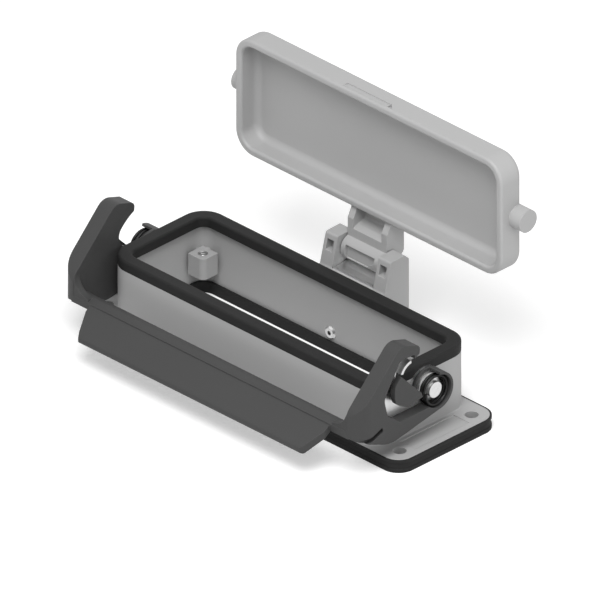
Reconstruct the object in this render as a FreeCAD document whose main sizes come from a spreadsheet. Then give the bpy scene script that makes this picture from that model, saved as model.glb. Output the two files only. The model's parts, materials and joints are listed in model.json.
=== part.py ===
import FreeCAD, Part
import math
import os
import Sketcher

os.makedirs("parts", exist_ok=True)

# Panel-mounting housing of a heavy duty rectangular connector, insert size 104 x 27.
# Frame: origin at the centre of the mounting face, under the flange gasket.
# X runs along the housing, -Y points to the locking lever, +Y to the hinged cover, Z up.
# The part stands as photographed: lever swung out and cover upright, both open.

# Driving dimensions in millimetres and degrees: name, value, what it is.
DIMENSIONS = [
    ("insert_half_x", 52.0, "half spacing of the insert screws, X"),
    ("insert_half_y", 13.5, "half spacing of the insert screws, Y"),
    ("insert_core", 1.65, "core radius of the M4 thread in a boss"),
    ("well_end", 4.55, "room between the insert screws and the end wall, X"),
    ("well_side", 4.9, "room between the insert screws and the side wall, Y"),
    ("wall_corner", 8.0, "outer corner radius of the wall"),
    ("wall_thick", 3.1, "wall thickness"),
    ("wall_top", 24.1, "height of the wall's rim above the mounting face"),
    ("tongue_thick", 1.2, "tongue on the rim that holds the gasket"),
    ("tongue_rise", 1.6, "height of that tongue"),
    ("mount_out", 5.35, "distance of the mounting holes from the end wall, X"),
    ("mount_edge", 5.4, "distance of the mounting holes from the flange's end, X"),
    ("mount_side", 5.9, "distance of the mounting holes from the flange's side, Y"),
    ("flange_side", 0.4, "how far the flange stands out at the sides, Y"),
    ("flange_corner", 5.5, "corner radius of the flange"),
    ("flange_thick", 3.3, "thickness of the flange"),
    ("root_fillet", 0.35, "fillet between wall and flange"),
    ("mount_radius", 2.2, "radius of a mounting hole"),
    ("hollow_near", 1.4, "distance of the flange's shallow hollow from the end wall"),
    ("hollow_far", 3.0, "how far that hollow reaches past the mounting holes, X"),
    ("hollow_clear", 4.0, "distance of that hollow from the mounting holes, Y"),
    ("hollow_deep", 0.35, "depth of that hollow"),
    ("boss_half", 3.3, "half width of a boss round its screw"),
    ("boss_round", 1.9, "radius of a boss's inner edge"),
    ("boss_web", 1.6, "how far a boss's web runs on along the walls"),
    ("boss_step", 0.6, "how far the web stays below the boss's top"),
    ("boss_top", 16.4, "height of the face that carries the insert"),
    ("boss_tall", 7.6, "height of a boss"),
    ("rim_wide", 4.7, "width of the rim gasket"),
    ("rim_tall", 3.5, "height of the rim gasket above the wall"),
    ("rim_bead", 0.7, "rounding of the rim gasket's upper edges"),
    ("rubber_slack", 0.08, "play between rubber and metal round a tongue"),
    ("sole_thick", 1.2, "thickness of the flange gasket under the flange"),
    ("sole_rim", 0.6, "thickness of the flange gasket round the flange's edge"),
    ("sole_rise", 4.4, "height of that rim above the mounting face"),
    ("sole_lip", 0.9, "thickness of the flange gasket's lip inside the well"),
    ("sole_lip_rise", 3.9, "height of that lip above the mounting face"),
    ("sole_groove", 0.3, "depth of the groove round the flange gasket's edge"),
    ("pivot_drop", 4.1, "depth of the lever's pivot below the wall's rim"),
    ("stud_radius", 3.0, "radius of the pivot stud's shank"),
    ("stud_blind", 1.1, "metal left between the stud's bore and the well"),
    ("stud_head_radius", 3.9, "radius of its collar outside the plate"),
    ("stud_head_thick", 0.7, "thickness of that collar"),
    ("stud_nose_radius", 2.7, "radius of the stud's end"),
    ("stud_nose_long", 1.8, "length of the stud's end"),
    ("stud_play", 0.06, "radial play of what turns on the stud"),
    ("washer_radius", 6.4, "outer radius of the washer behind the lever"),
    ("washer_thick", 0.7, "thickness of that washer"),
    ("side_gap", 0.3, "gap between the washer and the lever"),
    ("web_thick", 0.95, "inner web of the lever's cheek"),
    ("plate_thick", 0.8, "steel plate in the cheek"),
    ("cheek_thick", 5.65, "whole thickness of the cheek"),
    ("hub_radius", 6.6, "outer radius of the lever's hub"),
    ("hub_wall", 0.9, "wall of the hub round the spring"),
    ("peg_radius", 3.85, "radius of the cover's pegs"),
    ("peg_long", 4.9, "length of a peg"),
    ("slot_play", 0.55, "play of the peg in the lever's slot"),
    ("seat_angle", 137.0, "where the slot ends, in degrees about the pivot, lever open"),
    ("seat_collar", 1.0, "thickness of the steel collar round the slot's end"),
    ("seat_rise", 3.0, "height of that collar above the plate"),
    ("hook_depth", 3.3, "height of the hook above the slot"),
    ("disc_thick", 2.0, "thickness of the half disc"),
    ("post_radius", 2.0, "radius of the post that carries the half disc"),
    ("coil_radius", 4.9, "radius of the spring's coil, at the middle of the wire"),
    ("coil_wire", 0.5, "half thickness of the spring's wire"),
    ("coil_rest", 0.05, "gap between the spring and the plate"),
    ("coil_pitch", 1.2, "distance from turn to turn"),
    ("coil_turns", 2.4, "turns of the spring"),
    ("handle_half", 53.2, "half length of the handle where it leaves the lever's bar"),
    ("groove_deep", 1.6, "depth of the groove in the cheek's lower corner"),
    ("bar_front", 35.5, "distance of the bar's front face from the pivot, Y"),
    ("bar_back", 33.0, "distance of the bar's rear edge from the pivot, Y"),
    ("corner_round", 5.5, "radius of the lever's outer corners"),
    ("corner_hollow", 6.5, "radius of the hollow between cheek and bar"),
    ("cover_half_length", 59.25, "outer half length of the cover"),
    ("cover_width", 41.8, "outer width of the cover"),
    ("cover_depth", 9.3, "outer depth of the cover"),
    ("cover_corner", 7.6, "outer corner radius of the cover"),
    ("cover_wall", 2.7, "wall thickness of the cover"),
    ("cover_floor", 1.9, "thickness of the cover's top"),
    ("cover_fillet", 2.3, "fillet inside the cover"),
    ("cover_round", 2.2, "rounding outside the cover"),
    ("cover_lip", 0.9, "rounding of the cover's rim"),
    ("lid_gap", 0.15, "gap between closed cover and gasket"),
    ("hinge_back", 13.95, "distance from the wall to the hinge axis"),
    ("hinge_rise", 0.45, "height of the hinge axis over the cover's rim plane"),
    ("hinge_pin_radius", 2.0, "radius of the hinge pin"),
    ("hinge_play", 0.05, "radial play of the hinge pin"),
    ("pin_blind", 1.3, "metal left beyond the pin in the right ear"),
    ("knuckle_radius", 4.1, "outer radius of the cover's knuckle"),
    ("knuckle_gap", 0.4, "gap between knuckle and bracket"),
    ("panel_half", 7.0, "half width of the panel in the knuckle's front"),
    ("panel_floor", 2.6, "distance of the panel's floor from the hinge axis, Y"),
    ("mark_wide", 2.2, "width of the shallow mark on the cover's long side"),
    ("mark_deep", 0.4, "depth of that mark"),
    ("arm_half", 8.7, "half width of the cover's arm"),
    ("arm_rib", 2.4, "thickness of the arm's two ribs"),
    ("arm_back", 6.75, "distance from the hinge axis to the arm's back"),
    ("bracket_half", 14.4, "half width of the hinge bracket"),
    ("bracket_foot", 3.0, "thickness of the bracket's foot"),
    ("bracket_wall", 2.4, "wall thickness of the bracket"),
    ("rivet_height", 6.9, "height of the bracket's rivet"),
    ("rivet_radius", 1.7, "radius of the rivet's shank"),
    ("rivet_hollow", 0.75, "radius of the hole in the rivet"),
    ("rivet_rolled", 2.3, "radius of the rivet's rolled end inside the well"),
    ("rivet_head", 3.0, "radius of the rivet's head on the bracket"),
    ("rivet_proud", 0.8, "how far the rivet stands out at both ends"),
    ("leaf_thick", 0.5, "thickness of the leaf spring"),
    ("leaf_front", 6.8, "distance of the leaf's turned-up end from the hinge axis"),
    ("leaf_back", 3.0, "distance of the leaf's rear end from the hinge axis"),
    ("leaf_crown", 0.75, "height of the leaf's arch"),
    ("leaf_lift", 1.2, "height of the leaf's turned-up end"),
]

doc = FreeCAD.newDocument("RectangularConnector")
sheet = doc.addObject("Spreadsheet::Sheet", "Sizes")
for row, (alias, value, meaning) in enumerate(DIMENSIONS, start=1):
    sheet.set("A%d" % row, meaning)
    sheet.set("B%d" % row, str(value))
    sheet.setAlias("B%d" % row, alias)
doc.recompute()


def expression_of(value):
    """The sheet expression behind a size, or the plain number."""
    return value.expression if isinstance(value, Size) else repr(float(value))


class Size(float):
    """A size that also carries the sheet expression it is worked out from."""

    def __new__(cls, value, expression):
        size = super().__new__(cls, value)
        size.expression = expression
        return size

    def __add__(self, other):
        return Size(float(self) + other, "(%s + %s)" % (self.expression, expression_of(other)))

    def __radd__(self, other):
        return Size(other + float(self), "(%s + %s)" % (expression_of(other), self.expression))

    def __sub__(self, other):
        return Size(float(self) - other, "(%s - %s)" % (self.expression, expression_of(other)))

    def __rsub__(self, other):
        return Size(other - float(self), "(%s - %s)" % (expression_of(other), self.expression))

    def __mul__(self, other):
        return Size(float(self) * other, "(%s * %s)" % (self.expression, expression_of(other)))

    def __rmul__(self, other):
        return Size(other * float(self), "(%s * %s)" % (expression_of(other), self.expression))

    def __truediv__(self, other):
        return Size(float(self) / other, "(%s / %s)" % (self.expression, expression_of(other)))

    def __neg__(self):
        return Size(-float(self), "(0 - %s)" % self.expression)


class Dimensions:
    """The cells of the sheet by name, each as a Size."""

    def __getattr__(self, alias):
        return Size(float(sheet.get(alias)), "Sizes." + alias)


d = Dimensions()


def cosine(angle):
    return Size(math.cos(math.radians(angle)), "cos(%s)" % expression_of(angle))


def sine(angle):
    return Size(math.sin(math.radians(angle)), "sin(%s)" % expression_of(angle))


# Sizes that several pieces share
cavity_half_length = d.insert_half_x + d.well_end
cavity_half_width = d.insert_half_y + d.well_side
wall_half_length = cavity_half_length + d.wall_thick
wall_half_width = cavity_half_width + d.wall_thick
mount_half_x = wall_half_length + d.mount_out
flange_half_length = mount_half_x + d.mount_edge
flange_half_width = wall_half_width + d.flange_side
mount_half_y = flange_half_width - d.mount_side
cavity_corner = d.wall_corner - d.wall_thick
flange_top = d.sole_thick + d.flange_thick
rim_top = d.wall_top + d.rim_tall
pivot_height = d.wall_top - d.pivot_drop
hinge_y = wall_half_width + d.hinge_back
hinge_z = rim_top + d.lid_gap + d.hinge_rise
cover_front = hinge_y - d.hinge_rise
cover_middle = hinge_z + hinge_y
peg_out = d.arm_back - 0.2
path_radius = hinge_z + peg_out - pivot_height
slot_half = d.peg_radius + d.slot_play
slot_outer = path_radius + slot_half
cheek_inner = wall_half_length + d.washer_thick + d.side_gap
web_outer = cheek_inner + d.web_thick
plate_outer = web_outer + d.plate_thick
cheek_outer = cheek_inner + d.cheek_thick
seat_y = path_radius * cosine(d.seat_angle)
seat_z = path_radius * sine(d.seat_angle)
lever_unit = path_radius / 14.75
lever_tall = lever_unit * 60.0
gap_floor = hinge_z - d.knuckle_radius - d.knuckle_gap - d.leaf_thick - 0.8

bodies = {}


def new_body(name):
    """An empty part body whose label names its file."""
    body = doc.addObject("PartDesign::Body", name)
    body.Label = name
    bodies[name] = body
    return body


def sketch_on(body, name, role, at=0.0):
    """A sketch parallel to an origin plane: XY at height, XZ at depth Y, YZ at X."""
    origin_plane = [item for item in body.Origin.OriginFeatures if item.Role == role][0]
    sketch = body.newObject("Sketcher::SketchObject", name)
    sketch.AttachmentSupport = [(origin_plane, "")]
    sketch.MapMode = "FlatFace"
    offset = -at if role == "XZ_Plane" else at
    sketch.setExpression("AttachmentOffset.Base.z", expression_of(offset))
    return sketch


def place(sketch, geometry, end, u, v):
    """Dimension a point of the sketch from its origin, bound to the sheet."""
    for kind, value in (("DistanceX", u), ("DistanceY", v)):
        if value is None:
            continue
        number = sketch.addConstraint(Sketcher.Constraint(kind, -1, 1, geometry, end, float(value)))
        if isinstance(value, Size):
            sketch.setExpression("Constraints[%d]" % number, value.expression)


def set_radius(sketch, geometry, radius):
    number = sketch.addConstraint(Sketcher.Constraint("Radius", geometry, float(radius)))
    if isinstance(radius, Size):
        sketch.setExpression("Constraints[%d]" % number, radius.expression)


def vector(point):
    return FreeCAD.Vector(float(point[0]), float(point[1]), 0)


def outline(sketch, corners):
    """A closed outline of straight runs; a corner (u, v, radius) is rounded."""
    count = len(corners)
    spots = [vector(corner) for corner in corners]
    radii = [corner[2] if len(corner) > 2 else 0.0 for corner in corners]
    starts, ends, arcs = [], [], []
    for i in range(count):
        back = (spots[i - 1] - spots[i]).normalize()
        ahead = (spots[(i + 1) % count] - spots[i]).normalize()
        if float(radii[i]) <= 0.0:
            ends.append(spots[i])
            starts.append(spots[i])
            arcs.append(None)
            continue
        half_turn = back.getAngle(ahead) / 2
        along = float(radii[i]) / math.tan(half_turn)
        centre = spots[i] + (back + ahead).normalize() * (float(radii[i]) / math.sin(half_turn))
        ends.append(spots[i] + back * along)
        starts.append(spots[i] + ahead * along)
        left_turn = back.cross(ahead).z < 0
        first, last = (ends[i], starts[i]) if left_turn else (starts[i], ends[i])
        angles = [math.atan2(p.y - centre.y, p.x - centre.x) for p in (first, last)]
        circle = Part.Circle(centre, FreeCAD.Vector(0, 0, 1), float(radii[i]))
        arcs.append((Part.ArcOfCircle(circle, angles[0], angles[1]), left_turn))
    lines = []
    for i in range(count):
        line = Part.LineSegment(starts[i], ends[(i + 1) % count])
        lines.append(sketch.addGeometry(line))
    for i in range(count):
        before, after = lines[i - 1], lines[i]
        if arcs[i] is None:
            sketch.addConstraint(Sketcher.Constraint("Coincident", before, 2, after, 1))
            place(sketch, after, 1, corners[i][0], corners[i][1])
            continue
        arc, left_turn = arcs[i]
        bend = sketch.addGeometry(arc)
        first, last = (1, 2) if left_turn else (2, 1)
        sketch.addConstraint(Sketcher.Constraint("Tangent", before, 2, bend, first))
        sketch.addConstraint(Sketcher.Constraint("Tangent", bend, last, after, 1))
        set_radius(sketch, bend, radii[i])
        corner = sketch.addGeometry(Part.Point(spots[i]), True)
        place(sketch, corner, 1, corners[i][0], corners[i][1])
        sketch.addConstraint(Sketcher.Constraint("PointOnObject", corner, 1, before))
        sketch.addConstraint(Sketcher.Constraint("PointOnObject", corner, 1, after))


def scaled(sketch, corners):
    """An outline of the lever, drawn for the usual path of the peg and scaled with it."""
    outline(sketch, [tuple(value * lever_unit for value in corner) for corner in corners])


def rectangle(sketch, half_u, half_v, radius=0.0, middle_v=0.0):
    """A rectangle about (0, middle_v) with rounded corners."""
    low, high = middle_v - half_v, middle_v + half_v
    outline(sketch, [(-half_u, low, radius), (half_u, low, radius),
                     (half_u, high, radius), (-half_u, high, radius)])


def circle(sketch, u, v, radius):
    ring = Part.Circle(vector((u, v)), FreeCAD.Vector(0, 0, 1), float(radius))
    geometry = sketch.addGeometry(ring)
    place(sketch, geometry, 3, u, v)
    set_radius(sketch, geometry, radius)


def extrude(body, kind, name, sketch, length, towards=1, symmetric=False):
    """A Pad or Pocket of a sketch; towards is the sign along the plane's own axis."""
    doc.recompute()
    before = body.Shape.Volume if kind == "Pocket" else 0.0
    feature = body.newObject("PartDesign::" + kind, name)
    feature.Profile = sketch
    feature.setExpression("Length", expression_of(length))
    if symmetric:
        feature.SideType = "Symmetric"
    else:
        normal = -1 if "XZ" in sketch.AttachmentSupport[0][0].Role else 1
        along_normal = towards * normal > 0
        feature.Reversed = along_normal if kind == "Pocket" else not along_normal
    doc.recompute()
    if kind == "Pocket" and body.Shape.Volume >= before:
        raise RuntimeError("%s of %s removes nothing" % (name, body.Label))
    return feature


def pad(body, name, sketch, length, towards=1, symmetric=False):
    return extrude(body, "Pad", name, sketch, length, towards, symmetric)


def pocket(body, name, sketch, length, towards=-1, symmetric=False):
    return extrude(body, "Pocket", name, sketch, length, towards, symmetric)


def soften(body, kind, name, size, wanted):
    """A Fillet or Chamfer on the edges of the body that wanted(edge) picks."""
    doc.recompute()
    base = body.Tip
    edges = ["Edge%d" % (i + 1) for i, edge in enumerate(base.Shape.Edges) if wanted(edge)]
    if not edges:
        raise RuntimeError("%s of %s finds no edge" % (name, body.Label))
    feature = body.newObject("PartDesign::" + kind, name)
    feature.Base = (base, edges)
    feature.setExpression("Radius" if kind == "Fillet" else "Size", expression_of(size))
    doc.recompute()
    return feature


def all_near(edge, axis, value):
    """True where the whole edge lies at one coordinate along an axis."""
    box = edge.BoundBox
    low, high = getattr(box, axis + "Min"), getattr(box, axis + "Max")
    return abs(low - float(value)) < 0.01 and abs(high - float(value)) < 0.01


def mirrored(name, source):
    """The left-hand twin of a right-hand piece."""
    twin = doc.addObject("Part::Mirroring", name)
    twin.Source = source
    twin.Normal = FreeCAD.Vector(1, 0, 0)
    twin.Label = name
    bodies[name] = twin
    return twin


def turned(name, profile, height):
    """A piece turned about an axis along X at the given height: profile is (x, radius)."""
    body = new_body(name)
    sketch = sketch_on(body, name + "_section", "XZ_Plane")
    outline(sketch, [(x, radius) for x, radius in profile])
    doc.recompute()
    turn = body.newObject("PartDesign::Revolution", name + "_turned")
    turn.Profile = sketch
    turn.ReferenceAxis = (sketch, ["H_Axis"])
    turn.Angle = 360
    body.setExpression("Placement.Base.z", expression_of(height))
    doc.recompute()
    return body


# Housing: one aluminium casting with flange, wall and four insert bosses
def make_housing():
    body = new_body("housing")
    base = sketch_on(body, "flange_outline", "XY_Plane", d.sole_thick)
    rectangle(base, flange_half_length, flange_half_width, d.flange_corner)
    pad(body, "flange", base, d.flange_thick)
    wall = sketch_on(body, "wall_outline", "XY_Plane", d.sole_thick)
    rectangle(wall, wall_half_length, wall_half_width, d.wall_corner)
    pad(body, "wall", wall, d.wall_top - d.sole_thick)
    middle = d.wall_thick / 2 - d.tongue_thick / 2
    tongue = sketch_on(body, "tongue_outline", "XY_Plane", d.wall_top)
    rectangle(tongue, wall_half_length - middle, wall_half_width - middle,
              d.wall_corner - middle)
    inner = middle + d.tongue_thick
    rectangle(tongue, wall_half_length - inner, wall_half_width - inner,
              d.wall_corner - inner)
    pad(body, "tongue", tongue, d.tongue_rise)
    cavity = sketch_on(body, "cavity_outline", "XY_Plane", d.wall_top)
    rectangle(cavity, cavity_half_length, cavity_half_width, cavity_corner)
    pocket(body, "cavity", cavity, d.wall_top)
    soften(body, "Fillet", "root", d.root_fillet,
           lambda edge: all_near(edge, "Z", flange_top)
           and edge.BoundBox.XMax < wall_half_length + 0.1
           and edge.BoundBox.XMin > -wall_half_length - 0.1
           and edge.BoundBox.YMax < wall_half_width + 0.1
           and edge.BoundBox.YMin > -wall_half_width - 0.1)
    bosses = sketch_on(body, "boss_outlines", "XY_Plane", d.boss_top - d.boss_tall)
    webs = sketch_on(body, "boss_webs", "XY_Plane", d.boss_top - d.boss_tall)
    x, y = d.insert_half_x, d.insert_half_y
    wall_x, wall_y = cavity_half_length + d.boss_step, cavity_half_width + d.boss_step
    for sx in (1, -1):
        for sy in (1, -1):
            square = [(x - d.boss_half, y - d.boss_half, d.boss_round),
                      (x + d.boss_half, y - d.boss_half), (x + d.boss_half, y + d.boss_half),
                      (x - d.boss_half, y + d.boss_half)]
            web = [(x, y), (wall_x, y + d.boss_web), (wall_x, wall_y - d.boss_web),
                   (wall_x - d.boss_web, wall_y), (x + d.boss_web, wall_y)]
            for sketch, corners in ((bosses, square), (webs, web)):
                turned_over = [(sx * c[0], sy * c[1], *c[2:]) for c in corners]
                outline(sketch, turned_over if sx * sy > 0 else turned_over[::-1])
    pad(body, "bosses", bosses, d.boss_tall)
    pad(body, "webs", webs, d.boss_tall - d.boss_step)
    cores = sketch_on(body, "core_holes", "XY_Plane", d.boss_top)
    holes = sketch_on(body, "mounting_holes", "XY_Plane", flange_top)
    for sx in (1, -1):
        for sy in (1, -1):
            circle(cores, sx * d.insert_half_x, sy * d.insert_half_y, d.insert_core)
            circle(holes, sx * mount_half_x, sy * mount_half_y, d.mount_radius)
    pocket(body, "cores", cores, d.boss_tall)
    pocket(body, "mounting", holes, d.flange_thick)
    hollows = sketch_on(body, "end_hollows", "XY_Plane", flange_top)
    near_x, far_x = wall_half_length + d.hollow_near, mount_half_x + d.hollow_far
    half_y = mount_half_y - d.hollow_clear
    for left, right in ((near_x, far_x), (-far_x, -near_x)):
        outline(hollows, [(left, -half_y), (right, -half_y), (right, half_y), (left, half_y)])
    pocket(body, "end_hollow", hollows, d.hollow_deep)
    for side, towards in (("right", -1), ("left", 1)):
        bore = sketch_on(body, "stud_hole_" + side, "YZ_Plane", -towards * wall_half_length)
        circle(bore, 0.0, pivot_height, d.stud_radius + d.stud_play)
        pocket(body, "stud_bore_" + side, bore, d.wall_thick - d.stud_blind, towards=towards)
    rivet = sketch_on(body, "rivet_hole", "XZ_Plane", wall_half_width)
    circle(rivet, 0.0, d.rivet_height, d.rivet_radius + d.stud_play)
    pocket(body, "rivet_bore", rivet, d.wall_thick * 2)
    return body


# Rubber ring on the wall's rim, with a groove for the tongue
def make_rim_gasket():
    body = new_body("rim_gasket")
    ring = sketch_on(body, "ring", "XY_Plane", d.wall_top)
    rectangle(ring, wall_half_length, wall_half_width, d.wall_corner)
    rectangle(ring, wall_half_length - d.rim_wide, wall_half_width - d.rim_wide,
              d.wall_corner - d.rim_wide)
    pad(body, "ring_pad", ring, d.rim_tall)
    groove = sketch_on(body, "groove", "XY_Plane", d.wall_top)
    outer = d.wall_thick / 2 - d.tongue_thick / 2 - d.rubber_slack
    inner = outer + d.tongue_thick + d.rubber_slack * 2
    for inset in (outer, inner):
        rectangle(groove, wall_half_length - inset, wall_half_width - inset,
                  d.wall_corner - inset)
    pocket(body, "groove_cut", groove, d.tongue_rise + d.rubber_slack, towards=1)
    soften(body, "Fillet", "bead", d.rim_bead, lambda edge: all_near(edge, "Z", rim_top))
    return body


# Rubber tray under the flange, drawn up round its edge
def make_flange_gasket():
    body = new_body("flange_gasket")
    sole = sketch_on(body, "sole", "XY_Plane")
    reach = d.rubber_slack + d.sole_rim
    rectangle(sole, flange_half_length + reach, flange_half_width + reach,
              d.flange_corner + reach)
    lip_out = d.rubber_slack
    lip_in = d.rubber_slack + d.sole_lip
    rectangle(sole, cavity_half_length - lip_in, cavity_half_width - lip_in,
              cavity_corner - lip_in)
    pad(body, "sole_pad", sole, d.sole_rise)
    tray = sketch_on(body, "tray", "XY_Plane", d.sole_thick)
    rectangle(tray, flange_half_length + d.rubber_slack, flange_half_width + d.rubber_slack,
              d.flange_corner + d.rubber_slack)
    rectangle(tray, cavity_half_length - lip_out, cavity_half_width - lip_out,
              cavity_corner - lip_out)
    pocket(body, "tray_cut", tray, d.sole_rise, towards=1)
    crown = sketch_on(body, "lip_crown", "XY_Plane", d.sole_lip_rise)
    rectangle(crown, cavity_half_length, cavity_half_width, cavity_corner)
    pocket(body, "lip_cut", crown, d.sole_rise, towards=1)
    holes = sketch_on(body, "sole_holes", "XY_Plane")
    for sx in (1, -1):
        for sy in (1, -1):
            circle(holes, sx * mount_half_x, sy * mount_half_y, d.mount_radius)
    pocket(body, "sole_hole_cut", holes, d.sole_thick, towards=1)
    band = sketch_on(body, "edge_groove", "XY_Plane", d.sole_thick)
    for inset in (-1.0, d.sole_groove):
        rectangle(band, flange_half_length + reach - inset,
                  flange_half_width + reach - inset, d.flange_corner + reach - inset)
    pocket(body, "edge_groove_cut", band, d.sole_rise - d.sole_thick - 0.9, towards=1)
    return body


# Hinge bracket: a cast block on the back wall with two ears for the pin
def make_bracket():
    body = new_body("hinge_bracket")
    wall, foot = wall_half_width, wall_half_width + d.bracket_foot
    back = hinge_y + 3.25
    side = sketch_on(body, "side_view", "YZ_Plane")
    foot_bottom = flange_top + d.root_fillet + 0.1
    outline(side, [(wall, foot_bottom), (foot, foot_bottom),
                   (foot, d.rivet_height + 2.6), (back, hinge_z - 15.6, 1.5), (back, hinge_z + 3.1),
                   (back - 1.8, hinge_z + 4.9, 0.8), (hinge_y - 4.85, hinge_z + 4.7, 0.8),
                   (hinge_y - 7.45, hinge_z - 5.45, 1.0), (hinge_y - 9.0, hinge_z - 7.6, 1.0),
                   (wall, hinge_z - 7.6)])
    pad(body, "block", side, d.bracket_half * 2, symmetric=True)
    gap_half = d.arm_half + d.knuckle_gap
    gap = sketch_on(body, "knuckle_gap", "YZ_Plane")
    outline(gap, [(hinge_y - 12.0, gap_floor), (hinge_y + 12.0, gap_floor),
                  (hinge_y + 12.0, hinge_z + 12.0), (hinge_y - 12.0, hinge_z + 12.0)])
    pocket(body, "gap", gap, gap_half * 2, symmetric=True)
    inside = sketch_on(body, "hollow", "YZ_Plane")
    outline(inside, [(foot, d.rivet_height - 5.0), (back - d.bracket_wall, d.rivet_height - 5.0),
                     (back - d.bracket_wall, gap_floor - d.bracket_wall, 1.0),
                     (foot + 3.5, gap_floor - d.bracket_wall, 1.0),
                     (foot, hinge_z - 7.6 - d.bracket_wall * 2, 1.0)])
    pocket(body, "hollow_cut", inside, (d.bracket_half - d.bracket_wall) * 2, symmetric=True)
    windows = sketch_on(body, "ear_windows", "XZ_Plane", hinge_y - 12.0)
    ear_middle = (d.bracket_half + gap_half) / 2
    for sx in (1, -1):
        low, high = sx * ear_middle - 1.5, sx * ear_middle + 1.5
        outline(windows, [(low, hinge_z - 0.9), (high, hinge_z - 0.9),
                          (high, hinge_z + 2.7), (low, hinge_z + 2.7)])
    pocket(body, "ear_window", windows, 9.0, towards=1)
    pin = sketch_on(body, "pin_bore", "YZ_Plane", -d.bracket_half)
    circle(pin, hinge_y, hinge_z, d.hinge_pin_radius + d.hinge_play)
    pocket(body, "pin_bore_cut", pin, d.bracket_half * 2 - d.pin_blind, towards=1)
    rivet = sketch_on(body, "rivet_bore", "XZ_Plane", foot)
    circle(rivet, 0.0, d.rivet_height, d.rivet_radius + d.stud_play)
    pocket(body, "rivet_bore_cut", rivet, d.bracket_foot * 2)
    return body


# Cover with its arm, knuckle and pegs: one casting, drawn upright as it stands open
def make_cover():
    body = new_body("cover")
    middle, half = cover_middle, d.cover_width / 2
    shell = sketch_on(body, "shell", "XZ_Plane", cover_front)
    rectangle(shell, d.cover_half_length, half, d.cover_corner, middle)
    pad(body, "shell_pad", shell, d.cover_depth, towards=1)
    cover_back = cover_front + d.cover_depth
    soften(body, "Fillet", "back_edge", d.cover_round, lambda e: all_near(e, "Y", cover_back))
    bowl = sketch_on(body, "bowl", "XZ_Plane", cover_front)
    rectangle(bowl, d.cover_half_length - d.cover_wall, half - d.cover_wall,
              d.cover_corner - d.cover_wall, middle)
    pocket(body, "bowl_cut", bowl, d.cover_depth - d.cover_floor, towards=1)
    floor_y = cover_back - d.cover_floor
    soften(body, "Fillet", "floor_edge", d.cover_fillet, lambda e: all_near(e, "Y", floor_y))
    soften(body, "Fillet", "rim_edge", d.cover_lip, lambda e: all_near(e, "Y", cover_front))
    arm = sketch_on(body, "arm", "YZ_Plane")
    top = middle - half + 1.6
    arm_back = hinge_y + d.arm_back
    outline(arm, [(cover_front + 1.2, top), (cover_front + 1.2, top - 2.4),
                  (hinge_y - 0.85, middle - half - 4.0), (hinge_y - 0.85, hinge_z),
                  (hinge_y + 1.8, hinge_z - 2.6), (arm_back, hinge_z + 2.5, 2.0), (arm_back, top)])
    pad(body, "arm_pad", arm, d.arm_half * 2, symmetric=True)
    knuckle = sketch_on(body, "knuckle", "YZ_Plane")
    circle(knuckle, hinge_y, hinge_z, d.knuckle_radius)
    pad(body, "knuckle_pad", knuckle, d.arm_half * 2, symmetric=True)
    hollow = sketch_on(body, "arm_hollow", "YZ_Plane")
    outline(hollow, [(hinge_y - 3.0, hinge_z + 6.0), (hinge_y + 1.2, hinge_z + 8.2, 0.8),
                     (arm_back - 2.2, hinge_z + 9.2, 0.8), (arm_back - 2.2, middle - half),
                     (hinge_y - 3.0, middle - half)])
    pocket(body, "arm_hollow_cut", hollow, (d.arm_half - d.arm_rib) * 2, symmetric=True)
    panel = sketch_on(body, "knuckle_panel", "XZ_Plane", hinge_y - d.knuckle_radius * 2)
    outline(panel, [(-d.panel_half, hinge_z - 2.6), (d.panel_half * 0.3, hinge_z - 2.6),
                    (d.panel_half * 0.85, hinge_z + 0.4), (d.panel_half * 0.85, hinge_z + 2.1),
                    (-d.panel_half, hinge_z + 2.1)])
    pocket(body, "knuckle_panel_cut", panel, d.knuckle_radius * 2 - d.panel_floor, towards=1)
    side_z = middle + half
    mark = sketch_on(body, "side_mark", "XY_Plane", side_z)
    low, high = cover_front + d.cover_lip, cover_front + d.cover_lip + d.mark_wide
    outline(mark, [(-12.0, low), (7.0, low), (7.0, high), (-12.0, high)])
    pocket(body, "side_mark_cut", mark, d.mark_deep)
    notch = sketch_on(body, "side_notch", "XY_Plane", side_z)
    outline(notch, [(6.6, low + 0.1), (9.3, low + 0.3), (7.0, high + 0.3)])
    pocket(body, "side_notch_cut", notch, d.mark_deep * 2.5)
    bore = sketch_on(body, "hinge_bore", "YZ_Plane")
    circle(bore, hinge_y, hinge_z, d.hinge_pin_radius + d.hinge_play)
    pocket(body, "hinge_bore_cut", bore, d.arm_half * 3, symmetric=True)
    pegs = sketch_on(body, "pegs", "YZ_Plane", d.cover_half_length - d.cover_wall / 2)
    circle(pegs, hinge_y + peg_out, middle, d.peg_radius)
    pad(body, "peg_right", pegs, d.peg_long + d.cover_wall / 2)
    pegs = sketch_on(body, "pegs_left", "YZ_Plane", -(d.cover_half_length - d.cover_wall / 2))
    circle(pegs, hinge_y + peg_out, middle, d.peg_radius)
    pad(body, "peg_left", pegs, d.peg_long + d.cover_wall / 2, towards=-1)
    return body


# Outline of the lever's cheek, about the pivot: y, z, corner radius
def cheek_outline(sketch):
    hook_top = slot_outer + d.hook_depth
    front = -d.bar_front
    scaled(sketch, [(1.2, -6.45), (0.6, 3.0), (-8.6, slot_outer - 3.4, 1.0),
                    (-8.1, slot_outer + 0.9, 2.0), (-16.8, hook_top + 0.6, 4.6),
                    (front, 4.0, 5.0), (front, -4.9, 1.5), (-21.5, -10.6, 12.0)])


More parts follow.
